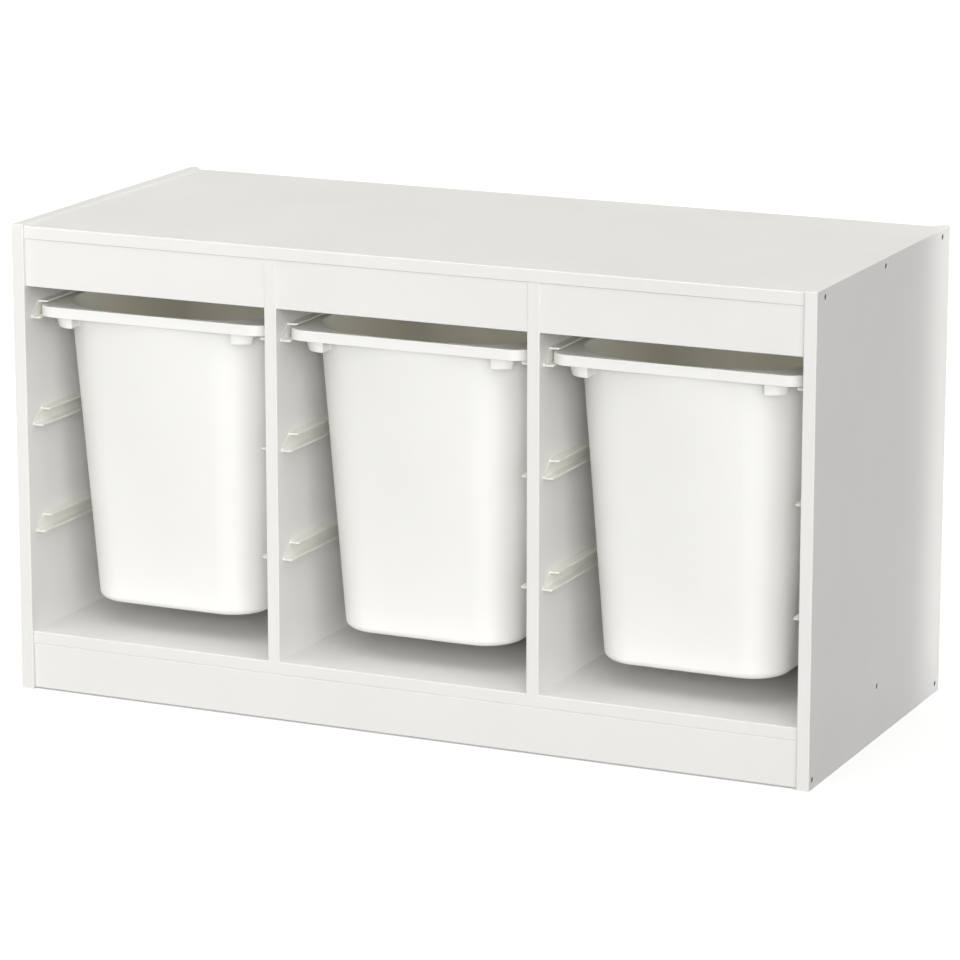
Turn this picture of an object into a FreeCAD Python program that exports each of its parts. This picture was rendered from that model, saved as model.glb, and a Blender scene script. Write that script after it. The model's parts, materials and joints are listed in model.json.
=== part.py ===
import FreeCAD, Part

import math
import os
import re

import Sketcher
from FreeCAD import Vector

# A free-standing toy organizer: a white board carcass with three bays, plastic runners at three
# heights on the walls of each bay, and one deep lift-out bin hanging by its rim in the top runners
# of every bay. X runs to the right, the open front faces -Y, Z is up, and the origin lies on the
# floor under the middle of the organizer. All sizes are in millimetres.

# ---------------------------------------------------------------------------------------------
# Driving sizes: name, value, what it is
# ---------------------------------------------------------------------------------------------
SIZES = (
    ("overall_width", 990.0, "outside width over the side panels"),
    ("overall_depth", 440.0, "outside depth of the side panels"),
    ("overall_height", 557.0, "height of the side panels"),
    ("board", 15.0, "thickness of every board"),
    ("board_edge", 1.0, "rounding of the boards' showing edges"),
    ("top_drop", 2.0, "top panel below the side panels' tops"),
    ("front_setback", 3.5, "inner boards behind the side panels' front edges"),
    ("plinth_lift", 1.5, "plinths above the floor"),
    ("plinth_height", 53.5, "height of a plinth board"),
    ("fascia_setback", 4.5, "fascias behind the side panels' front edges"),
    ("fascia_height", 56.0, "height of a fascia board"),
    ("back_sheet", 3.0, "thickness of the back panel"),
    ("back_inset", 3.0, "back panel inside the side panels' rear edges"),
    ("back_lap_side", 6.0, "depth of the back panel's rabbet in the side panels"),
    ("back_lap_top", 8.0, "height of the back panel's rabbet in the top panel"),
    ("back_play", 0.5, "gap from the back panel's edges to the ends of the rabbets"),
    ("back_lift", 1.0, "back panel's lower edge above the bottom panel's underside"),
    ("runner_gap", 20.7, "fascia's lower edge down to the top runners"),
    ("runner_spacing", 128.0, "height from one row of runners to the next"),
    ("runner_web", 2.0, "thickness of a runner against the wall"),
    ("runner_reach", 12.0, "how far a runner stands out from the wall"),
    ("runner_flange", 2.2, "thickness of a runner's two flanges"),
    ("channel_height", 14.0, "clear height between a runner's flanges"),
    ("runner_setback", 14.0, "lower flange behind the side panels' front edges"),
    ("runner_mouth", 17.5, "upper flange behind the end of the lower flange"),
    ("runner_lip", 1.5, "height of the stop lip at the front of the web"),
    ("runner_rear_gap", 2.0, "runner's rear end to the back panel"),
    ("runner_tip", 3.0, "corner radius at the flanges' front ends"),
    ("peg_radius", 2.5, "a runner's press-in pegs"),
    ("peg_length", 6.0, "length of a peg in the wall"),
    ("peg_inset", 50.0, "outer pegs inside the side panels' front and rear edges"),
    ("peg_tip", 0.6, "chamfer on the end of a peg"),
    ("hole_fit", 0.05, "radial clearance of a peg, dowel or screw in its hole"),
    ("hole_spare", 0.5, "how much deeper a blind hole is than what sits in it"),
    ("slide_fit", 0.3, "bin rim above the runner that carries it"),
    ("bin_side_gap", 1.5, "bin rim to the runner's web, each side"),
    ("bin_setback", 14.5, "bin rim behind the side panels' front edges"),
    ("bin_rear_gap", 1.5, "bin rim to the back panel"),
    ("bin_floor_gap", 31.6, "bottom panel to the underside of a hanging bin"),
    ("rim_plate", 2.5, "thickness of the rim's flat top"),
    ("rim_height", 12.2, "height of the rim's skirt"),
    ("rim_wall", 2.6, "thickness of the rim's skirt"),
    ("rim_corner", 25.0, "corner radius of the rim"),
    ("rim_bow", 8000.0, "radius of the rim's slightly bowed front and rear"),
    ("rim_edge", 1.2, "rounding of the rim's outer edge"),
    ("opening_edge", 1.0, "rounding of the opening's edge"),
    ("bin_wall", 2.2, "thickness of a bin's walls and bottom"),
    ("bin_slope", 0.08, "how far a wall leans in per height"),
    ("ledge_side", 12.8, "rim standing out from the bin's body, each side"),
    ("ledge_front", 1.5, "rim standing out from the bowed front and rear"),
    ("body_corner_top", 78.0, "corner radius of the bin's body at the rim"),
    ("body_corner_low", 46.0, "corner radius of the bin's body at the bottom"),
    ("body_bow_top", 375.0, "radius of the bowed front and rear at the rim"),
    ("body_bow_low", 6000.0, "the same at the bottom, where it is nearly straight"),
    ("bow_fade", 7.1, "how much more the front leans in where the bow runs out"),
    ("bottom_edge", 9.0, "rounding between the bin's walls and its bottom"),
    ("shoulder_side", 13.3, "corner shoulder inside the rim's side, at the rim's flat top"),
    ("shoulder_front", 4.0, "corner shoulder behind the rim's front"),
    ("shoulder_drop", 21.9, "height of the corner shoulders under the rim's flat top"),
    ("shoulder_lean", 7.1, "how far a shoulder's side leans in over its height"),
    ("shoulder_corner", 25.0, "corner radius of a shoulder"),
    ("shoulder_wall", 2.0, "thickness of a shoulder's wall"),
    ("shoulder_width", 34.2, "width of a shoulder from its side"),
    ("shoulder_return", 10.0, "how far a shoulder turns back round the corner"),
    ("shoulder_root", 21.5, "depth of a shoulder's inner end, which meets the bin's body"),
    ("screw_radius", 2.5, "shank of a furniture screw"),
    ("screw_length", 48.0, "length of a furniture screw with its head"),
    ("screw_tip", 1.2, "chamfer on the end of a screw"),
    ("screw_head_radius", 3.5, "head of a furniture screw"),
    ("screw_head_height", 3.0, "height of that head"),
    ("screw_sink", 0.5, "head below the board's face"),
    ("socket_radius", 2.0, "corner radius of the hexagon socket"),
    ("socket_depth", 2.0, "depth of the hexagon socket"),
    ("side_screw_inset", 25.0, "outer screws of the top panel inside the side panels' edges"),
    ("plinth_screw_height", 11.0, "screws of the plinths above the floor"),
    ("divider_fixing_inset", 70.0, "outer fixings of a divider inside the side panels' edges"),
    ("dowel_radius", 3.0, "wooden dowel"),
    ("dowel_in_face", 10.0, "dowel's depth in the face of a board"),
    ("dowel_in_edge", 20.0, "dowel's depth in the edge of a board"),
    ("dowel_chamfer", 0.8, "chamfer on a dowel's ends"),
    ("top_dowel_inset", 120.0, "dowels at the top panel's ends inside the side panels' edges"),
    ("bottom_dowel_inset", 70.0, "dowels at the bottom panel's ends inside the same edges"),
    ("fascia_dowel_inset", 55.0, "dowels of a fascia inside its ends"),
    ("nail_radius", 0.8, "shank of a back panel nail"),
    ("nail_head_radius", 2.0, "head of a back panel nail"),
    ("nail_head_height", 0.6, "height of that head"),
    ("nail_length", 20.0, "length of a nail's shank"),
    ("nail_edge", 3.0, "nails inside the edge of a board that ends under the back panel"),
    ("nail_top_edge", 4.0, "nails above the lower face of the top panel"),
    ("nail_spacing_wide", 200.0, "nails along the top and bottom panels"),
    ("nail_spacing_high", 170.0, "nails up the side panels and dividers"),
    ("nail_middle_height", 300.0, "height of the middle nails of the side panels and dividers"),
)

# Places that follow from the driving sizes: name, formula over the names above, what it is
PLACES = (
    ("half_width", "overall_width / 2", "outer face of a side panel"),
    ("half_depth", "overall_depth / 2", "front or rear edge of a side panel"),
    ("side_inner", "half_width - board", "inner face of a side panel"),
    ("board_front", "front_setback - half_depth", "front edge of the inner boards"),
    ("back_rear", "half_depth - back_inset", "rear face of the back panel"),
    ("board_rear", "back_rear - back_sheet", "front face of the back panel"),
    ("top_level", "overall_height - top_drop", "upper face of the top panel"),
    ("top_under", "top_level - board", "lower face of the top panel"),
    ("floor_under", "plinth_lift + plinth_height", "lower face of the bottom panel"),
    ("floor_level", "floor_under + board", "upper face of the bottom panel"),
    ("fascia_low", "top_under - fascia_height", "lower edge of the fascias"),
    ("fascia_front", "fascia_setback - half_depth", "front face of the fascias"),
    ("fascia_middle", "fascia_front + board / 2", "middle of the fascias' thickness"),
    ("bay_width", "(2 * side_inner - 2 * board) / 3", "clear width of one of the three bays"),
    ("bay_pitch", "bay_width + board", "middle of one bay to the middle of the next"),
    ("divider_middle", "bay_pitch / 2", "middle of a divider's thickness"),
    ("plinth_front_middle", "board_front + board / 2", "middle of the front plinth"),
    ("plinth_rear_middle", "board_rear - board / 2", "middle of the rear plinth"),
    ("runner_top", "fascia_low - runner_gap", "top of the upper runners"),
    ("runner_height", "channel_height + 2 * runner_flange", "height of a runner"),
    ("runner_front", "runner_setback - half_depth", "front end of the lower flange"),
    ("runner_upper_front", "runner_front + runner_mouth", "front end of the upper flange"),
    ("runner_rear", "board_rear - runner_rear_gap", "rear end of a runner"),
    ("runner_seat", "runner_top - runner_flange - channel_height", "face that carries a rim"),
    ("peg_spread", "half_depth - peg_inset", "outer pegs from the middle one"),
    ("peg_hole", "peg_radius + hole_fit", "radius of a peg's hole"),
    ("peg_hole_depth", "peg_length + hole_spare", "depth of a peg's hole"),
    ("rim_low", "runner_seat + slide_fit", "lower edge of a hanging bin's rim"),
    ("rim_level", "rim_low + rim_height", "upper face of a hanging bin's rim"),
    ("rim_under", "rim_level - rim_plate", "lower face of the rim's flat top"),
    ("rim_half_width", "bay_width / 2 - runner_web - bin_side_gap", "rim, half its width"),
    ("rim_front", "bin_setback - half_depth", "foremost point of a rim"),
    ("rim_rear", "board_rear - bin_rear_gap", "rearmost point of a rim"),
    ("rim_half_depth", "(rim_rear - rim_front) / 2", "rim, half its depth"),
    ("bin_middle", "(rim_rear + rim_front) / 2", "middle of a bin along the depth"),
    ("bin_low", "floor_level + bin_floor_gap", "underside of a hanging bin"),
    ("bin_lean", "(rim_level - bin_low) * bin_slope", "how far a wall leans in altogether"),
    ("body_half_width_top", "rim_half_width - ledge_side", "body at the rim"),
    ("body_half_depth_top", "rim_half_depth - ledge_front", "body at the rim"),
    ("body_half_width_low", "body_half_width_top - bin_lean", "body at the bottom"),
    ("body_half_depth_low", "body_half_depth_top - bin_lean - bow_fade", "body at the bottom"),
    ("shoulder_low", "rim_under - shoulder_drop", "lower edge of the corner shoulders"),
    ("shoulder_half_width", "rim_half_width - shoulder_side", "outside of the shoulders"),
    ("shoulder_half_depth", "rim_half_depth - shoulder_front", "front of the shoulders"),
    ("shoulder_inner", "shoulder_half_width - shoulder_width", "inner end of a shoulder"),
    ("shoulder_end", "shoulder_half_depth - shoulder_return", "where a shoulder's wall ends"),
    ("shoulder_rear", "shoulder_half_depth - shoulder_root", "rear of a shoulder's inner end"),
    ("side_screw_spread", "half_depth - side_screw_inset", "top panel's outer screws"),
    ("divider_fixing_spread", "half_depth - divider_fixing_inset", "a divider's outer fixings"),
    ("top_dowel_spread", "half_depth - top_dowel_inset", "dowels at the top panel's ends"),
    ("bottom_dowel_spread", "half_depth - bottom_dowel_inset", "the same at the bottom panel"),
    ("fascia_dowel_spread", "bay_width / 2 - fascia_dowel_inset", "dowels of a fascia"),
    ("screw_hole", "screw_radius + hole_fit", "radius of a screw's hole"),
    ("head_hole", "screw_head_radius + hole_fit", "radius of a screw head's recess"),
    ("head_hole_depth", "screw_head_height + screw_sink", "depth of that recess"),
    ("screw_reach", "screw_length + screw_sink", "face of the outer board to the screw's tip"),
    ("screw_edge_depth", "screw_reach - board + hole_spare", "screw's hole in a board's edge"),
    ("dowel_hole", "dowel_radius + hole_fit", "radius of a dowel's hole"),
    ("dowel_face_depth", "dowel_in_face + hole_spare", "dowel's hole in a face"),
    ("dowel_edge_depth", "dowel_in_edge + hole_spare", "dowel's hole in an edge"),
    ("dowel_length", "dowel_in_face + dowel_in_edge", "length of a dowel"),
    ("back_half_width", "side_inner + back_lap_side - back_play", "back panel, half its width"),
    ("back_top", "top_under + back_lap_top - back_play", "upper edge of the back panel"),
    ("back_low", "floor_under + back_lift", "lower edge of the back panel"),
    ("nail_hole", "nail_radius + hole_fit", "radius of a nail's hole"),
    ("nail_depth", "nail_length - back_sheet + hole_spare", "nail's hole behind the back panel"),
)

ALIASES = {name for name, _, _ in SIZES + PLACES}

# Sketch plane square to each axis, and which way its normal points along that axis
PLANES = {"X": ("YZ_Plane", 1), "Y": ("XZ_Plane", -1), "Z": ("XY_Plane", 1)}

BAYS = (("left", -1), ("centre", 0), ("right", 1))
SIDES = (("left", -1), ("right", 1))
LEVELS = ("top", "middle", "bottom")
ROW = (-1, 0, 1)

SAME_LEVEL = 0.001  # two levels this close, in millimetres, are one

doc = FreeCAD.newDocument("ToyOrganizer")
dims = doc.addObject("Spreadsheet::Sheet", "Dims")
parts = []


# ---------------------------------------------------------------------------------------------
# The sheet, and helpers that bind sizes to it
# ---------------------------------------------------------------------------------------------
def fill_sheet():
    """Write the sizes as plain numbers and the places as formulas, each with its name as alias."""
    for row, (name, content, note) in enumerate(SIZES + PLACES, 1):
        dims.set(f"A{row}", name)
        dims.set(f"B{row}", f"={content}" if isinstance(content, str) else str(content))
        dims.set(f"C{row}", note)
        dims.setAlias(f"B{row}", name)
    doc.recompute()


def formula(text):
    """Turn the names in a formula into references to the sheet."""
    return re.sub(r"[a-z]\w*", lambda found: f"Dims.{found[0]}" if found[0] in ALIASES else found[0], text)


def value(text):
    return float(dims.evalExpression(formula(text)))


def new_part(kind, name, copies):
    part = doc.addObject(kind, name)
    part.Label = name
    parts.append((part, copies))
    return part


def new_body(name, copies=1):
    """Start a sub-part; a group of like fasteners has as many separate solids as copies."""
    body = new_part("PartDesign::Body", name, copies)
    body.AllowCompound = copies > 1
    return body


def mirror(source, name, plane="0"):
    """Make a sub-part as the mirror image of another, across an upright plane at X = plane."""
    image = new_part("Part::Mirroring", name, len(source.Shape.Solids))
    image.Source = source
    image.Normal = Vector(1, 0, 0)
    image.setExpression("Base.x", formula(plane))
    image.recompute(True)
    return image


def place(body, x="0", y="0", z="0"):
    for axis, text in (("x", x), ("y", y), ("z", z)):
        body.setExpression(f"Placement.Base.{axis}", formula(text))


def attach(feature, body, axis, level):
    """Lay a sketch or primitive on the body's origin plane square to axis, moved to level."""
    role, sign = PLANES[axis]
    plane = next(item for item in body.Origin.OriginFeatures if item.Role == role)
    feature.AttachmentSupport = [(plane, "")]
    feature.MapMode = "FlatFace"
    feature.setExpression("AttachmentOffset.Base.z", formula(f"{sign} * ({level})"))


def new_sketch(body, name, axis, level):
    sketch = body.newObject("Sketcher::SketchObject", name)
    attach(sketch, body, axis, level)
    return sketch


def bind(sketch, kind, targets, text):
    """Add a dimension to a sketch and tie it to the sheet."""
    number = sketch.addConstraint(Sketcher.Constraint(kind, *targets, value(text)))
    sketch.setExpression(f"Constraints[{number}]", formula(text))


def bind_point(sketch, geometry, point, across, up):
    """Tie a point of a sketch to its distances from the origin."""
    bind(sketch, "DistanceX", (-1, 1, geometry, point), across)
    bind(sketch, "DistanceY", (-1, 1, geometry, point), up)


def polygons(body, name, axis, level, outlines):
    """Sketch closed outlines of straight lines through points given as pairs of formulas."""
    sketch = new_sketch(body, name, axis, level)
    for points in outlines:
        first = sketch.GeometryCount
        corners = [Vector(value(across), value(up), 0) for across, up in points]
        ends = corners[1:] + corners[:1]
        for start, end in zip(corners, ends):
            sketch.addGeometry(Part.LineSegment(start, end), False)
        for number, (across, up) in enumerate(points):
            after = (number + 1) % len(points)
            sketch.addConstraint(Sketcher.Constraint("Coincident", first + number, 2, first + after, 1))
            bind_point(sketch, first + number, 1, across, up)
    return sketch


def polygon(body, name, axis, level, points):
    return polygons(body, name, axis, level, [points])


def rectangle(body, name, axis, level, left, right, low, high):
    return polygon(body, name, axis, level, [(left, low), (right, low), (right, high), (left, high)])


def circles(body, name, axis, level, centres, radius):
    """Sketch a circle of one radius at each centre, given as pairs of formulas."""
    sketch = new_sketch(body, name, axis, level)
    for number, (across, up) in enumerate(centres):
        centre = Vector(value(across), value(up), 0)
        sketch.addGeometry(Part.Circle(centre, Vector(0, 0, 1), value(radius)), False)
        bind(sketch, "Radius", (number,), radius)
        bind_point(sketch, number, 3, across, up)
    return sketch


def arc(centre, radius, start, end):
    return Part.ArcOfCircle(Part.Circle(centre, Vector(0, 0, 1), radius), start, end)


def bowed_outline(body, name, level, half_width, half_depth, corner, bow):
    """Sketch a rounded rectangle about the origin whose front and rear bow out by a large radius."""
    side, reach, small, large = (value(text) for text in (half_width, half_depth, corner, bow))
    across = side - small
    bow_centre = reach - large
    up = bow_centre + math.sqrt((large - small) ** 2 - across ** 2)
    turn = math.atan2(up - bow_centre, across)
    outline = (
        Part.LineSegment(Vector(side, -up, 0), Vector(side, up, 0)),
        arc(Vector(across, up, 0), small, 0, turn),
        arc(Vector(0, bow_centre, 0), large, turn, math.pi - turn),
        arc(Vector(-across, up, 0), small, math.pi - turn, math.pi),
        Part.LineSegment(Vector(-side, up, 0), Vector(-side, -up, 0)),
        arc(Vector(-across, -up, 0), small, math.pi, math.pi + turn),
        arc(Vector(0, -bow_centre, 0), large, math.pi + turn, 2 * math.pi - turn),
        arc(Vector(across, -up, 0), small, 2 * math.pi - turn, 2 * math.pi),
    )
    sketch = new_sketch(body, name, "Z", level)
    for piece in outline:
        sketch.addGeometry(piece, False)
    for number in range(len(outline)):
        sketch.addConstraint(Sketcher.Constraint("Tangent", number, 2, (number + 1) % len(outline), 1))
    for number in (0, 4):
        sketch.addConstraint(Sketcher.Constraint("Vertical", number))
    for number in (2, 6):
        sketch.addConstraint(Sketcher.Constraint("PointOnObject", number, 3, -2))
        bind(sketch, "Radius", (number,), bow)
    for number in (1, 3, 5, 7):
        bind(sketch, "Radius", (number,), corner)
    bind(sketch, "DistanceX", (-1, 1, 0, 1), half_width)
    bind(sketch, "DistanceX", (-1, 1, 4, 1), f"-({half_width})")
    bind(sketch, "DistanceY", (-1, 1, 2, 3), f"({half_depth}) - ({bow})")
    bind(sketch, "DistanceY", (-1, 1, 6, 3), f"({bow}) - ({half_depth})")
    return sketch


def add(body, name, sketch, axis, toward, length):
    """Pad a sketch; toward is 1 or -1 along the axis."""
    pad = body.newObject("PartDesign::Pad", name)
    pad.Profile = sketch
    pad.Reversed = toward * PLANES[axis][1] < 0
    pad.setExpression("Length", formula(length))
    body.recompute(True)
    return pad


def cut(body, name, sketch, axis, toward, length):
    """Pocket a sketch, and make sure that it takes something away."""
    before = body.Shape.Volume
    pocket = body.newObject("PartDesign::Pocket", name)
    pocket.Profile = sketch
    pocket.Reversed = toward * PLANES[axis][1] > 0
    pocket.setExpression("Length", formula(length))
    body.recompute(True)
    if body.Shape.Volume >= before:
        raise RuntimeError(f"{body.Label}: {name} cuts nothing")
    return pocket


def studs(body, name, axis, level, toward, centres, radius, length):
    return add(body, name, circles(body, f"{name}_plan", axis, level, centres, radius), axis, toward, length)


def bores(body, name, axis, level, toward, centres, radius, depth):
    return cut(body, name, circles(body, f"{name}_plan", axis, level, centres, radius), axis, toward, depth)


def edges_where(shape, wanted):
    """Names of the edges whose bounding box passes a test."""
    return [f"Edge{number}" for number, edge in enumerate(shape.Edges, 1) if wanted(edge.BoundBox)]


def flat_at(low, high, level):
    return abs(low - level) < SAME_LEVEL and abs(high - level) < SAME_LEVEL


def round_off(body, name, edges, radius, kind="Fillet"):
    """Round or chamfer the named edges of the body's last feature."""
    last = body.Tip
    feature = body.newObject(f"PartDesign::{kind}", name)
    feature.Base = (last, edges)
    feature.setExpression("Radius" if kind == "Fillet" else "Size", formula(radius))
    body.recompute(True)
    return feature


def round_front(body, front):
    """Round a board's two long edges at its front."""
    level = value(front)
    shortest = value("plinth_height / 2")

    def along_front(box):
        return flat_at(box.YMin, box.YMax, level) and box.DiagonalLength > shortest

    round_off(body, "front_edges", edges_where(body.Shape, along_front), "board_edge")


# ---------------------------------------------------------------------------------------------
# Boards of the carcass
# ---------------------------------------------------------------------------------------------
def runner_peg_centres():
    """Where the pegs of all three rows of runners enter a wall, as depth and height."""
    return [
        (f"{along} * peg_spread", f"runner_top - runner_height / 2 - {level} * runner_spacing")
        for level in range(len(LEVELS))
        for along in ROW
    ]


def side_screw_centres():
    """Where screws pass a side panel into the boards between the sides, as depth and height."""
    top_row = [(f"{along} * side_screw_spread", "top_level - board / 2") for along in ROW]
    return top_row + [
        ("0", "floor_level - board / 2"),
        ("plinth_front_middle", "plinth_screw_height"),
        ("plinth_rear_middle", "plinth_screw_height"),
    ]


def side_dowel_centres():
    """Dowels between a side panel and the ends of the top and bottom panels, as depth and height."""
    at_top = [(f"{end} * top_dowel_spread", "top_level - board / 2") for end in (-1, 1)]
    return at_top + [(f"{end} * bottom_dowel_spread", "floor_level - board / 2") for end in (-1, 1)]


def divider_fixing_centres():
    """Screws under and dowels over the two dividers, as width and depth."""
    return [
        (f"{side} * divider_middle", f"{along} * divider_fixing_spread")
        for _, side in SIDES
        for along in ROW
    ]


def fascia_dowel_centres(bays=BAYS):
    """Dowels over the fascias of some bays, as width and depth."""
    return [
        (f"{bay} * bay_pitch + {end} * fascia_dowel_spread", "fascia_middle")
        for _, bay in bays
        for end in (-1, 1)
    ]


def plinth_dowel_centres(middle):
    return [(f"{bay} * bay_pitch", middle) for _, bay in BAYS]


def nail_centres():
    """Nails of the back panel by the board that each goes into, as width and height."""
    heights = [f"nail_middle_height + {step} * nail_spacing_high" for step in ROW]
    across = [f"{step} / 2 * nail_spacing_wide" for step in (-3, -1, 1, 3)]
    return {
        "side_left": [("-side_inner - nail_edge", height) for height in heights],
        "side_right": [("side_inner + nail_edge", height) for height in heights],
        "divider_left": [("-divider_middle", height) for height in heights],
        "divider_right": [("divider_middle", height) for height in heights],
        "top": [(width, "top_under + nail_top_edge") for width in across],
        "bottom": [(width, "floor_level - board / 2") for width in across],
    }


def make_side_panels():
    """Side panels with a rabbet for the back panel, screw holes and blind holes for the runners."""
    body = new_body("side_panel_left")
    outer = "-half_width"
    inner = "-side_inner"
    step = "-side_inner - back_lap_side"
    plan = [
        (outer, "-half_depth"),
        (inner, "-half_depth"),
        (inner, "board_rear"),
        (step, "board_rear"),
        (step, "half_depth"),
        (outer, "half_depth"),
    ]
    add(body, "board", polygon(body, "plan", "Z", "0", plan), "Z", 1, "overall_height")
    round_front(body, "-half_depth")
    top = value("overall_height")
    shortest = value("overall_depth / 2")

    def along_top(box):
        return flat_at(box.ZMin, box.ZMax, top) and box.YLength > shortest

    round_off(body, "top_edges", edges_where(body.Shape, along_top), "board_edge")
    bores(body, "screw_holes", "X", outer, 1, side_screw_centres(), "screw_hole", "board")
    bores(body, "head_recesses", "X", outer, 1, side_screw_centres(), "head_hole", "head_hole_depth")
    bores(body, "dowel_holes", "X", inner, -1, side_dowel_centres(), "dowel_hole", "dowel_face_depth")
    bores(body, "peg_holes", "X", inner, -1, runner_peg_centres(), "peg_hole", "peg_hole_depth")
    bores(body, "nail_holes", "Y", "board_rear", -1, nail_centres()["side_left"], "nail_hole", "nail_depth")
    mirror(body, "side_panel_right")


def bore_ends(body, screws, dowels):
    """Screw and dowel holes in both ends of a board that runs from side to side."""
    for name, side in SIDES:
        end = f"{side} * side_inner"
        bores(body, f"screw_holes_{name}", "X", end, -side, screws, "screw_hole", "screw_edge_depth")
        if dowels:
            bores(body, f"dowel_holes_{name}", "X", end, -side, dowels, "dowel_hole", "dowel_edge_depth")


def make_top_panel():
    """The top panel, with its rear lower edge rabbeted over the back panel."""
    body = new_body("top_panel")
    profile = [
        ("board_front", "top_under"),
        ("board_rear", "top_under"),
        ("board_rear", "top_under + back_lap_top"),
        ("back_rear", "top_under + back_lap_top"),
        ("back_rear", "top_level"),
        ("board_front", "top_level"),
    ]
    add(body, "board", polygon(body, "profile", "X", "-side_inner", profile), "X", 1, "2 * side_inner")
    round_front(body, "board_front")
    bore_ends(body, side_screw_centres()[:3], side_dowel_centres()[:2])
    under = divider_fixing_centres() + fascia_dowel_centres()
    bores(body, "dowel_holes_under", "Z", "top_under", 1, under, "dowel_hole", "dowel_face_depth")
    bores(body, "nail_holes", "Y", "board_rear", -1, nail_centres()["top"], "nail_hole", "nail_depth")


def make_bottom_panel():
    """The bottom panel, screwed up into the dividers and standing on the plinths."""
    body = new_body("bottom_panel")
    plan = rectangle(body, "plan", "Z", "floor_under", "-side_inner", "side_inner", "board_front", "board_rear")
    add(body, "board", plan, "Z", 1, "board")
    round_front(body, "board_front")
    bore_ends(body, side_screw_centres()[3:4], side_dowel_centres()[2:])
    fixings = divider_fixing_centres()
    bores(body, "screw_holes", "Z", "floor_under", 1, fixings, "screw_hole", "board")
    bores(body, "head_recesses", "Z", "floor_under", 1, fixings, "head_hole", "head_hole_depth")
    plinths = plinth_dowel_centres("plinth_front_middle") + plinth_dowel_centres("plinth_rear_middle")
    bores(body, "dowel_holes", "Z", "floor_under", 1, plinths, "dowel_hole", "dowel_face_depth")
    bores(body, "nail_holes", "Y", "board_rear", -1, nail_centres()["bottom"], "nail_hole", "nail_depth")


def make_dividers():
    """The uprights between the bays, with blind holes for the runners on both faces."""
    body = new_body("divider_left")
    left = "-divider_middle - board / 2"
    right = "-divider_middle + board / 2"
    plan = rectangle(body, "plan", "Z", "floor_level", left, right, "board_front", "board_rear")
    add(body, "board", plan, "Z", 1, "top_under - floor_level")
    round_front(body, "board_front")
    fixings = divider_fixing_centres()[:len(ROW)]
    bores(body, "screw_holes", "Z", "floor_level", 1, fixings, "screw_hole", "screw_edge_depth")
    bores(body, "dowel_holes", "Z", "top_under", -1, fixings, "dowel_hole", "dowel_edge_depth")
    bores(body, "peg_holes_left", "X", left, 1, runner_peg_centres(), "peg_hole", "peg_hole_depth")
    bores(body, "peg_holes_right", "X", right, -1, runner_peg_centres(), "peg_hole", "peg_hole_depth")
    nails = nail_centres()["divider_left"]
    bores(body, "nail_holes", "Y", "board_rear", -1, nails, "nail_hole", "nail_depth")
    mirror(body, "divider_right")


def make_fascia(name, bay):
    """The board across the top of a bay's front, hung from the top panel by dowels."""
    body = new_body(f"fascia_{name}")
    left = f"{bay} * bay_pitch - bay_width / 2"
    right = f"{bay} * bay_pitch + bay_width / 2"
    plan = rectangle(body, "plan", "Z", "fascia_low", left, right, "fascia_front", "fascia_front + board")
    add(body, "board", plan, "Z", 1, "fascia_height")
    low = value("fascia_low")
    shortest = value("bay_width / 2")

    def along_low(box):
        return flat_at(box.ZMin, box.ZMax, low) and box.XLength > shortest

    round_off(body, "lower_edges", edges_where(body.Shape, along_low), "board_edge")
    dowels = fascia_dowel_centres([(name, bay)])
    bores(body, "dowel_holes", "Z", "top_under", -1, dowels, "dowel_hole", "dowel_edge_depth")
    return body


def make_plinth(name, front, middle):
    """A low board under the bottom panel, screwed to both side panels."""
    body = new_body(f"plinth_{name}")
    plan = rectangle(body, "plan", "Z", "plinth_lift", "-side_inner", "side_inner", front, f"{front} + board")
    add(body, "board", plan, "Z", 1, "plinth_height")
    round_front(body, front)
    bore_ends(body, [(middle, "plinth_screw_height")], [])
    dowels = plinth_dowel_centres(middle)
    bores(body, "dowel_holes", "Z", "floor_under", -1, dowels, "dowel_hole", "dowel_edge_depth")


def make_back_panel():
    """The thin back sheet in its rabbets, with a hole for every nail."""
    body = new_body("back_panel")
    sheet = rectangle(
        body, "outline", "Y", "board_rear", "-back_half_width", "back_half_width", "back_low", "back_top"
    )
    add(body, "sheet", sheet, "Y", 1, "back_sheet")
    nails = sum(nail_centres().values(), [])
    bores(body, "nail_holes", "Y", "board_rear", 1, nails, "nail_hole", "back_sheet")


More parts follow.
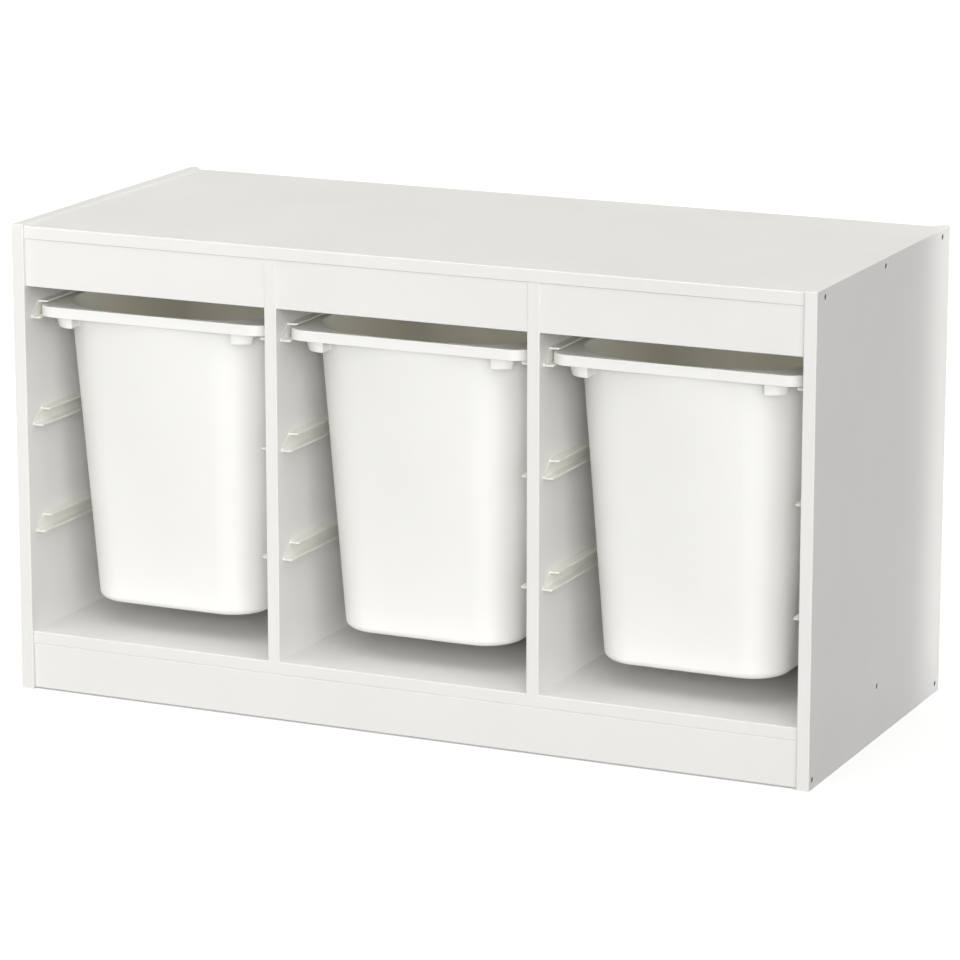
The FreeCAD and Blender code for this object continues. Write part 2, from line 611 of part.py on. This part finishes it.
# ---------------------------------------------------------------------------------------------
# Plastic runners
# ---------------------------------------------------------------------------------------------
def make_runner(level_name, level):
    """A C-shaped runner pressed into the left wall of the left bay; it opens to the right."""
    body = new_body(f"runner_left_bay_{level_name}_left")
    profile = [
        ("0", "0"),
        ("runner_reach", "0"),
        ("runner_reach", "-runner_flange"),
        ("runner_web", "-runner_flange"),
        ("runner_web", "-runner_flange - channel_height"),
        ("runner_reach", "-runner_flange - channel_height"),
        ("runner_reach", "-runner_height"),
        ("0", "-runner_height"),
    ]
    section = polygon(body, "profile", "Y", "runner_rear", profile)
    add(body, "channel", section, "Y", -1, "runner_rear - runner_front")
    mouth = [
        ("runner_front", "0"),
        ("runner_upper_front", "0"),
        ("runner_upper_front", "-runner_flange"),
        ("runner_front", "runner_flange + runner_lip - runner_height"),
    ]
    cut(body, "mouth", polygon(body, "mouth_side", "X", "0", mouth), "X", 1, "runner_reach")
    reach = value("runner_reach")
    middle = value("(runner_front + runner_rear) / 2")

    def at_tip(box):
        return flat_at(box.XMin, box.XMax, reach) and box.YMax < middle and box.ZLength > SAME_LEVEL

    round_off(body, "tips", edges_where(body.Shape, at_tip), "runner_tip")
    pegs = [(f"{along} * peg_spread", "-runner_height / 2") for along in ROW]
    studs(body, "pegs", "X", "0", -1, pegs, "peg_radius", "peg_length")
    end = -value("peg_length")
    tips = edges_where(body.Shape, lambda box: flat_at(box.XMin, box.XMax, end))
    round_off(body, "peg_tips", tips, "peg_tip", "Chamfer")
    place(body, x="-side_inner", z=f"runner_top - {level} * runner_spacing")
    body.recompute(True)
    return body


def make_runners():
    """Three rows of six runners: each is the mirror image of its neighbour to the left."""
    for level, level_name in enumerate(LEVELS):
        runner = make_runner(level_name, level)
        for bay_name, bay in BAYS:
            if bay_name != "left":
                wall = f"({bay} - 1 / 2) * bay_pitch"
                runner = mirror(runner, f"runner_{bay_name}_bay_{level_name}_left", wall)
            runner = mirror(runner, f"runner_{bay_name}_bay_{level_name}_right", f"{bay} * bay_pitch")


# ---------------------------------------------------------------------------------------------
# Bins
# ---------------------------------------------------------------------------------------------
def loft(body, name, kind, upper, lower):
    feature = body.newObject(f"PartDesign::{kind}Loft", name)
    feature.Profile = upper
    feature.Sections = [lower]
    body.recompute(True)
    return feature


def edges_at_level(shape, level):
    return edges_where(shape, lambda box: flat_at(box.ZMin, box.ZMax, level))


def opening_edges(shape, level):
    """Names of the edges round the hole in the shape's flat top face at a level."""
    faces = [face for face in shape.Faces if flat_at(face.BoundBox.ZMin, face.BoundBox.ZMax, level)]
    top = max(faces, key=lambda face: face.Area)
    holes = [wire for wire in top.Wires if not wire.isSame(top.OuterWire)]
    inside = [edge for wire in holes for edge in wire.Edges]
    return [
        f"Edge{number}"
        for number, edge in enumerate(shape.Edges, 1)
        if any(edge.isSame(other) for other in inside)
    ]


def make_bin_cavity():
    """The space inside a bin, as a body that is taken away from it."""
    body = doc.addObject("PartDesign::Body", "bin_cavity")
    upper = bowed_outline(
        body, "opening", "rim_level", "body_half_width_top - bin_wall", "body_half_depth_top - bin_wall",
        "body_corner_top - bin_wall", "body_bow_top - bin_wall"
    )
    lower = bowed_outline(
        body, "bottom", "bin_low + bin_wall", "body_half_width_low - bin_wall",
        "body_half_depth_low - bin_wall", "body_corner_low - bin_wall", "body_bow_low - bin_wall"
    )
    loft(body, "space", "Additive", upper, lower)
    low = edges_at_level(body.Shape, value("bin_low + bin_wall"))
    round_off(body, "inner_bottom_edge", low, "bottom_edge - bin_wall")
    return body


def join(body, name, kind, other):
    """Fuse another body with this one, or cut it out of this one."""
    feature = body.newObject("PartDesign::Boolean", name)
    feature.Type = kind
    feature.setObjects([other])
    body.recompute(True)
    return feature


def make_bin_shoulders():
    """Thin walls under the rim's corners, each with an inner end that meets the bin's body."""
    body = doc.addObject("PartDesign::Body", "bin_shoulders")
    body.AllowCompound = True
    for feature, kind, inset, level in (
        ("shoulder", "Additive", "0", "rim_under + rim_plate / 2"),
        ("shoulder_hollow", "Subtractive", "shoulder_wall", "rim_under"),
    ):
        upper = bowed_outline(
            body, f"{feature}_top", level, f"shoulder_half_width - {inset}",
            f"shoulder_half_depth - {inset}", f"shoulder_corner - {inset}", "rim_bow"
        )
        lower = bowed_outline(
            body, f"{feature}_low", "shoulder_low", f"shoulder_half_width - shoulder_lean - {inset}",
            f"shoulder_half_depth - {inset}", f"shoulder_corner - {inset}", "rim_bow"
        )
        loft(body, feature, kind, upper, lower)
    quarter = [
        ("shoulder_inner", "rim_half_depth"),
        ("shoulder_inner", "shoulder_end"),
        ("rim_half_width", "shoulder_end"),
    ]
    cross = [
        (f"{across} * {x}", f"{up} * {y}")
        for across, up, turn in ((1, 1, 1), (1, -1, -1), (-1, -1, 1), (-1, 1, -1))
        for x, y in quarter[::turn]
    ]
    gaps = polygon(body, "shoulder_gaps_plan", "Z", "shoulder_low", cross)
    cut(body, "shoulder_gaps", gaps, "Z", 1, "shoulder_drop + rim_plate")
    ends = [
        [
            (f"{across} * {x}", f"{up} * {y}")
            for x, y in (
                ("shoulder_inner", "shoulder_rear"),
                ("(shoulder_inner + shoulder_wall)", "shoulder_rear"),
                ("(shoulder_inner + shoulder_wall)", "(shoulder_half_depth - shoulder_wall / 2)"),
                ("shoulder_inner", "(shoulder_half_depth - shoulder_wall / 2)"),
            )
        ]
        for _, across in SIDES
        for _, up in SIDES
    ]
    plan = polygons(body, "shoulder_ends_plan", "Z", "shoulder_low", ends)
    add(body, "shoulder_ends", plan, "Z", 1, "shoulder_drop + rim_plate / 2")
    return body


def make_bins():
    """Deep bins with a hollow rim, a bowed front and rear, and shoulders under the rim's corners."""
    body = new_body("bin_centre")
    rim = bowed_outline(body, "rim_plan", "rim_low", "rim_half_width", "rim_half_depth", "rim_corner", "rim_bow")
    add(body, "rim", rim, "Z", 1, "rim_height")
    round_off(body, "rim_edge", edges_at_level(body.Shape, value("rim_level")), "rim_edge")
    hollow = bowed_outline(
        body, "rim_hollow_plan", "rim_low", "rim_half_width - rim_wall", "rim_half_depth - rim_wall",
        "rim_corner - rim_wall", "rim_bow - rim_wall"
    )
    cut(body, "rim_hollow", hollow, "Z", 1, "rim_height - rim_plate")

    join(body, "shoulders", "Fuse", make_bin_shoulders())

    upper = bowed_outline(
        body, "body_top", "rim_level", "body_half_width_top", "body_half_depth_top", "body_corner_top",
        "body_bow_top"
    )
    lower = bowed_outline(
        body, "body_low", "bin_low", "body_half_width_low", "body_half_depth_low", "body_corner_low",
        "body_bow_low"
    )
    loft(body, "walls", "Additive", upper, lower)
    round_off(body, "bottom_edge", edges_at_level(body.Shape, value("bin_low")), "bottom_edge")

    join(body, "space", "Cut", make_bin_cavity())
    round_off(body, "opening_edge", opening_edges(body.Shape, value("rim_level")), "opening_edge")
    place(body, y="bin_middle")
    body.recompute(True)
    for name, side in SIDES:
        mirror(body, f"bin_{name}", f"{side} * divider_middle")


# ---------------------------------------------------------------------------------------------
# Fasteners
# ---------------------------------------------------------------------------------------------
def hexagon(across, up, radius):
    """Corners of a regular hexagon about a centre, as pairs of formulas."""
    turns = range(0, 360, 60)
    return [(f"{across} + {radius} * cos({turn}deg)", f"{up} + {radius} * sin({turn}deg)") for turn in turns]


def make_screws(name, axis, face, toward, centres):
    """Furniture screws with a hexagon socket, sunk into a face and pointing toward one way."""
    body = new_body(name, len(centres))
    start = f"{face} + {toward} * screw_sink"
    studs(body, "shanks", axis, start, toward, centres, "screw_radius", "screw_length")
    end = value(f"{start} + {toward} * screw_length")

    def at_end(box):
        low, high = (box.XMin, box.XMax) if axis == "X" else (box.ZMin, box.ZMax)
        return flat_at(low, high, end)

    round_off(body, "tips", edges_where(body.Shape, at_end), "screw_tip", "Chamfer")
    studs(body, "heads", axis, start, toward, centres, "screw_head_radius", "screw_head_height")
    sockets = [hexagon(across, up, "socket_radius") for across, up in centres]
    cut(body, "sockets", polygons(body, "sockets_plan", axis, start, sockets), axis, toward, "socket_depth")
    return body


def make_dowels(name, axis, rows):
    """Wooden dowels across joints; a row is the joint's level, the side of its face, and centres."""
    body = new_body(name, sum(len(centres) for _, _, centres in rows))
    for number, (joint, into_face, centres) in enumerate(rows):
        start = f"{joint} + {into_face} * dowel_in_face"
        studs(body, f"row{number}", axis, start, -into_face, centres, "dowel_radius", "dowel_length")
    length = value("dowel_length")
    ends = edges_where(body.Shape, lambda box: box.DiagonalLength < length)
    round_off(body, "ends", ends, "dowel_chamfer", "Chamfer")


def make_nails():
    """Small flat-headed nails through the back panel."""
    centres = sum(nail_centres().values(), [])
    body = new_body("back_panel_nails", len(centres))
    studs(body, "shanks", "Y", "back_rear", -1, centres, "nail_radius", "nail_length")
    studs(body, "heads", "Y", "back_rear", 1, centres, "nail_head_radius", "nail_head_height")


def make_fasteners():
    side_screws = make_screws("side_screws_left", "X", "-half_width", 1, side_screw_centres())
    mirror(side_screws, "side_screws_right")
    make_screws("divider_screws", "Z", "floor_under", 1, divider_fixing_centres())
    side_rows = [(f"{side} * side_inner", side, side_dowel_centres()) for _, side in SIDES]
    make_dowels("side_dowels", "X", side_rows)
    make_dowels("divider_dowels", "Z", [("top_under", 1, divider_fixing_centres())])
    make_dowels("fascia_dowels", "Z", [("top_under", 1, fascia_dowel_centres())])
    plinth_rows = [
        ("floor_under", 1, plinth_dowel_centres(middle))
        for middle in ("plinth_front_middle", "plinth_rear_middle")
    ]
    make_dowels("plinth_dowels", "Z", plinth_rows)
    make_nails()


# ---------------------------------------------------------------------------------------------
# Assembly, checks and files
# ---------------------------------------------------------------------------------------------
def make_everything():
    make_side_panels()
    make_dividers()
    make_top_panel()
    make_bottom_panel()
    make_fascia("centre", 0)
    mirror(make_fascia("left", -1), "fascia_right")
    make_plinth("front", "board_front", "plinth_front_middle")
    make_plinth("rear", "board_rear - board", "plinth_rear_middle")
    make_back_panel()
    make_runners()
    make_bins()
    make_fasteners()


def check_document():
    """Stop if any object failed, or a sub-part is not made of as many sound solids as it should."""
    for item in doc.Objects:
        if {"Invalid", "Error"} & set(item.State):
            raise RuntimeError(f"{item.Label} failed")
    for body, copies in parts:
        if body.Shape.isNull() or not body.Shape.isValid():
            raise RuntimeError(f"{body.Label} has no sound shape")
        if len(body.Shape.Solids) != copies:
            raise RuntimeError(f"{body.Label} has {len(body.Shape.Solids)} solids instead of {copies}")


def write_parts():
    os.makedirs("parts", exist_ok=True)
    for body, _ in parts:
        body.Shape.exportStep(f"parts/{body.Label}.step")


fill_sheet()
make_everything()
doc.recompute()
check_document()
write_parts()
print(f"{len(parts)} sub-parts written")
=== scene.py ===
"""Looks for the toy storage organizer: boards, runners, bins, fixings, floor, light and camera.

Lengths are in metres, light directions point the way the light travels, and colours are linear.
"""

import json
import math

import bpy
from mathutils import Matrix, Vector


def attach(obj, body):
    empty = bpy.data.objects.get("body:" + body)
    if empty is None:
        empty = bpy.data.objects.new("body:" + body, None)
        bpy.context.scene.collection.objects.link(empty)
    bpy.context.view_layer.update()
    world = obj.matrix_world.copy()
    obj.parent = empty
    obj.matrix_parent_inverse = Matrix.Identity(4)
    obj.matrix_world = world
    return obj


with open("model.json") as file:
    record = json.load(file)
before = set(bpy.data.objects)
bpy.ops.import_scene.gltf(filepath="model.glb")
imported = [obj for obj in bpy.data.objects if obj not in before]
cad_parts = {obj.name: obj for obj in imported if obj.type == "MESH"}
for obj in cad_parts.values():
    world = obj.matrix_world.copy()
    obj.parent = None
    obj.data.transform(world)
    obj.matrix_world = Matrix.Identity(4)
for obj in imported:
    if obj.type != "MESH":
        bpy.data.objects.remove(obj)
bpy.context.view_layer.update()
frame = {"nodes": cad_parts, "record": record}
NODES = frame["nodes"]
SLOT_OF = {part["node"]: part["material_slot"] for part in frame["record"]["subparts"]}

# ---------------------------------------------------------------- colours and measures

WHITE = (1.0, 1.0, 1.0)
FOIL_DARK, FOIL_LIGHT = (0.795, 0.786, 0.765), (0.825, 0.818, 0.800)
HARDBOARD_DARK, HARDBOARD_LIGHT = (0.77, 0.76, 0.735), (0.80, 0.79, 0.77)
RUNNER_DARK, RUNNER_LIGHT = (0.79, 0.785, 0.735), (0.82, 0.815, 0.77)
BIN_DARK, BIN_LIGHT = (0.875, 0.87, 0.838), (0.895, 0.89, 0.861)
SCREW_COLOUR = (0.20, 0.195, 0.19)
NAIL_COLOUR = (0.62, 0.61, 0.60)
BEECH_DARK, BEECH_LIGHT = (0.50, 0.33, 0.18), (0.66, 0.48, 0.30)
FLOOR_DARK, FLOOR_LIGHT = (0.70, 0.70, 0.70), (0.72, 0.72, 0.72)

# how tightly each pattern is packed along X, Y and Z, per metre
FOIL_GRAIN = (260.0, 1400.0, 1400.0)
HARDBOARD_FIBRES = (420.0, 420.0, 900.0)
STEEL_SCRATCHES = (300.0, 2600.0, 2600.0)
BEECH_GRAIN = (900.0, 900.0, 90.0)

# the runners' slanted front edges face this way; painted shade darkens their colour there
LEANING_BACK = (0.0, -0.58, 0.81)
RUNNER_PAINTED_EDGE_SHADE = 0.70

FLOOR_HALF = 45.0
FLOOR_GLOW = 0.33
BIN_PITCH = 0.325

# ---------------------------------------------------------------- node helpers


class Tree:
    """Builds one material's node tree."""

    def __init__(self, name):
        self.material = bpy.data.materials.new(name)
        self.material.use_nodes = True
        self.nodes = self.material.node_tree.nodes
        self.links = self.material.node_tree.links
        self.shader = self.nodes["Principled BSDF"]
        self.place = self.nodes.new("ShaderNodeTexCoord").outputs["Object"]

    def add(self, kind, inputs=None, **settings):
        """Adds a node; inputs are constants or other nodes' outputs."""
        node = self.nodes.new(kind)
        for key, setting in settings.items():
            setattr(node, key, setting)
        for key, source in (inputs or {}).items():
            self.feed(node.inputs[key], source)
        return node

    def feed(self, socket, source):
        if isinstance(source, bpy.types.NodeSocket):
            self.links.new(source, socket)
        else:
            socket.default_value = source

    def noise(self, scale=1.0, detail=2.0, roughness=0.5, place=None):
        inputs = {
            "Vector": place or self.place,
            "Scale": scale,
            "Detail": detail,
            "Roughness": roughness,
        }
        return self.add("ShaderNodeTexNoise", inputs).outputs["Fac"]

    def stretched(self, scale):
        return self.add("ShaderNodeMapping", {"Vector": self.place, "Scale": scale}).outputs["Vector"]

    def ramp(self, factor, *stops):
        """A colour ramp through stops of (position, colour)."""
        node = self.add("ShaderNodeValToRGB", {"Fac": factor})
        ramp = node.color_ramp
        for element, (position, colour) in zip(ramp.elements, stops):
            element.position = position
            element.color = (*colour, 1.0)
        return node.outputs["Color"]

    def spread(self, factor, low, high):
        node = self.add("ShaderNodeMapRange", {"Value": factor, "To Min": low, "To Max": high})
        return node.outputs["Result"]

    def dot(self, vector, fixed):
        node = self.add("ShaderNodeVectorMath", {0: vector, 1: fixed}, operation="DOT_PRODUCT")
        return node.outputs["Value"]

    def multiply(self, colour, shade):
        inputs = {0: 1.0, 6: colour, 7: shade}
        node = self.add("ShaderNodeMix", inputs, data_type="RGBA", blend_type="MULTIPLY")
        return node.outputs[2]

    def bump(self, height, distance, strength):
        inputs = {"Height": height, "Distance": distance, "Strength": strength}
        return self.add("ShaderNodeBump", inputs).outputs["Normal"]

    def finish(self, **inputs):
        """Feeds the shader, with _ for the blank in an input's name."""
        for key, source in inputs.items():
            self.feed(self.shader.inputs[key.replace("_", " ")], source)
        return self.material


# ---------------------------------------------------------------- materials


def board_foil():
    """Satin foil with faint patches and a fine grain along X."""
    tree = Tree("board_foil")
    patches = tree.noise(scale=7.0, detail=3.0)
    colour = tree.ramp(patches, (0.25, FOIL_DARK), (0.75, FOIL_LIGHT))
    grain = tree.noise(detail=3.0, roughness=0.6, place=tree.stretched(FOIL_GRAIN))
    return tree.finish(
        Base_Color=colour,
        Roughness=tree.spread(grain, 0.34, 0.46),
        Normal=tree.bump(grain, distance=0.00006, strength=0.5),
    )


def back_hardboard():
    """Painted hardboard whose fibres still show."""
    tree = Tree("back_hardboard")
    fibres = tree.noise(detail=5.0, roughness=0.65, place=tree.stretched(HARDBOARD_FIBRES))
    return tree.finish(
        Base_Color=tree.ramp(fibres, (0.3, HARDBOARD_DARK), (0.7, HARDBOARD_LIGHT)),
        Roughness=tree.spread(fibres, 0.5, 0.7),
        Normal=tree.bump(fibres, distance=0.0001, strength=0.5),
    )


def moulded_white(name, low, high, roughness, painted_edge_shade=None):
    """Moulded plastic with a finely sparked surface; the shade factor paints shade, darkening the colour of
    what faces LEANING_BACK.
    """
    tree = Tree(name)
    clouds = tree.noise(scale=9.0)
    colour = tree.ramp(clouds, (0.3, low), (0.7, high))
    if painted_edge_shade is not None:
        normal = tree.add("ShaderNodeNewGeometry").outputs["Normal"]
        lean = tree.dot(normal, LEANING_BACK)
        # painted shade: surfaces turned toward LEANING_BACK are darkened by the shade factor
        shade = tree.ramp(lean, (0.93, WHITE), (0.98, (painted_edge_shade, painted_edge_shade, painted_edge_shade)))
        colour = tree.multiply(colour, shade)
    sparks = tree.noise(scale=1500.0, detail=3.0, roughness=0.6)
    return tree.finish(
        Base_Color=colour,
        Roughness=tree.spread(sparks, roughness - 0.05, roughness + 0.07),
        Normal=tree.bump(sparks, distance=0.00005, strength=0.45),
    )


def turned_steel(name, colour, roughness):
    """Bare metal with fine scratches, darker where they run."""
    tree = Tree(name)
    scratches = tree.noise(detail=4.0, roughness=0.7, place=tree.stretched(STEEL_SCRATCHES))
    dark = tuple(0.72 * part for part in colour)
    return tree.finish(
        Base_Color=tree.ramp(scratches, (0.3, dark), (0.7, colour)),
        Metallic=1.0,
        Roughness=tree.spread(scratches, roughness - 0.08, roughness + 0.12),
        Normal=tree.bump(scratches, distance=0.00004, strength=0.4),
    )


def beech():
    """Bare beech with its grain along Z."""
    tree = Tree("beech")
    grain = tree.noise(detail=4.0, roughness=0.65, place=tree.stretched(BEECH_GRAIN))
    return tree.finish(
        Base_Color=tree.ramp(grain, (0.25, BEECH_DARK), (0.75, BEECH_LIGHT)),
        Roughness=0.6,
        Normal=tree.bump(grain, distance=0.0001, strength=0.5),
    )


def pale_floor():
    """A matt floor that glows a little, so that it stays white."""
    tree = Tree("pale_floor")
    clouds = tree.noise(scale=0.8)
    return tree.finish(
        Base_Color=tree.ramp(clouds, (0.3, FLOOR_DARK), (0.7, FLOOR_LIGHT)),
        Roughness=0.9,
        Emission_Color=(*WHITE, 1.0),
        Emission_Strength=FLOOR_GLOW,
    )


MATERIALS = {
    "white_board": board_foil(),
    "back_sheet": back_hardboard(),
    # the runners' material has painted shade on faces turned toward LEANING_BACK
    "runner_plastic": moulded_white("runner_white", RUNNER_DARK, RUNNER_LIGHT, 0.42, RUNNER_PAINTED_EDGE_SHADE),
    "bin_plastic": moulded_white("bin_white", BIN_DARK, BIN_LIGHT, 0.40),
    "screw_steel": turned_steel("screw_dark", SCREW_COLOUR, 0.38),
    "nail_steel": turned_steel("nail_bright", NAIL_COLOUR, 0.34),
    "dowel_wood": beech(),
}
for name, node in NODES.items():
    for slot in node.material_slots:
        slot.material = MATERIALS[SLOT_OF[name]]

# ---------------------------------------------------------------- floor and surroundings


def show(thing):
    bpy.context.scene.collection.objects.link(thing)
    return thing


corners = [(x * FLOOR_HALF, y * FLOOR_HALF, 0.0) for x, y in ((-1, -1), (1, -1), (1, 1), (-1, 1))]
floor_mesh = bpy.data.meshes.new("floor")
floor_mesh.from_pydata(corners, [], [(0, 1, 2, 3)])
floor = show(bpy.data.objects.new("floor", floor_mesh))
# the part doesn't get the floor's light back, apart from reflections
floor.visible_diffuse = False
floor_mesh.materials.append(pale_floor())

world = bpy.data.worlds.new("studio")
bpy.context.scene.world = world
world.use_nodes = True
background = world.node_tree.nodes["Background"]
background.inputs["Color"].default_value = (*WHITE, 1.0)
background.inputs["Strength"].default_value = 1.0
# the white world is seen behind the part, and lights nothing
for ray in ("diffuse", "glossy", "transmission", "scatter"):
    setattr(world.cycles_visibility, ray, False)

# ---------------------------------------------------------------- lights

WARM = (1.0, 0.99, 0.962)
NEUTRAL = WHITE
OLIVE = (1.0, 0.97, 0.74)


def aim(holder, toward):
    holder.rotation_euler = Vector(toward).to_track_quat("-Z", "Y").to_euler()


def sun(name, toward, strength, spread, colour=NEUTRAL):
    """A soft parallel light that shines along toward; spread is in degrees."""
    lamp = bpy.data.lights.new(name, "SUN")
    lamp.energy = strength
    lamp.angle = math.radians(spread)
    lamp.color = colour
    holder = show(bpy.data.objects.new(name, lamp))
    aim(holder, toward)
    return holder


def softbox(name, at, target, size, power, colour=NEUTRAL):
    """A rectangular light at a place, facing another; size is its width and height."""
    lamp = bpy.data.lights.new(name, "AREA")
    lamp.shape = "RECTANGLE"
    lamp.size, lamp.size_y = size
    lamp.energy = power
    lamp.color = colour
    holder = show(bpy.data.objects.new(name, lamp))
    holder.location = at
    aim(holder, Vector(target) - Vector(at))
    holder.visible_camera = False
    return holder


sun("overhead", (0.0, 0.0, -1.0), strength=2.90, spread=90.0, colour=WARM)
sun("front_wide", (-0.6, 0.8, -0.17), strength=1.92, spread=60.0)
sun("front_narrow", (-0.36, 0.94, -0.15), strength=1.29, spread=30.0)
sun("left_low", (0.55, 0.85, -0.12), strength=0.14, spread=60.0)
softbox("front_left", (-1.7, -2.3, 0.9), (0.0, -0.2, 0.3), size=(1.2, 1.2), power=12.0)

# lights the back and the left side, which the photo doesn't show
behind = sun("behind", (0.5, -0.85, -0.02), strength=2.0, spread=12.0)
behind.visible_glossy = False

# brightens the right side panel toward its rear edge
rear_right = softbox("rear_right", (0.60, 0.215, 0.29), (0.495, 0.215, 0.29), size=(0.06, 0.75), power=0.10)
rear_right.data.spread = math.radians(100.0)

# rides on its bin and stands in for the light that passes through the bin's front
for bin_body, middle in (("bin_left", -BIN_PITCH), ("bin_centre", 0.0), ("bin_right", BIN_PITCH)):
    glow = softbox(
        "glow", (middle, -0.13, 0.30), (middle, 0.2, 0.36), size=(0.16, 0.26), power=0.08, colour=OLIVE
    )
    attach(glow, bin_body)

# ---------------------------------------------------------------- camera

CAMERA_DOWN = 13.545
CAMERA_TURN = 24.468

camera_data = bpy.data.cameras.new("camera")
camera_data.sensor_width = 36.0
camera_data.lens = 166.085
camera = show(bpy.data.objects.new("camera", camera_data))
camera.location = (2.0867, -4.5861, 1.4676)
camera.rotation_euler = (math.radians(90.0 - CAMERA_DOWN), 0.0, math.radians(CAMERA_TURN))
bpy.context.scene.camera = camera
bpy.context.scene.view_settings.view_transform = "Standard"
bpy.context.scene.view_settings.look = "None"
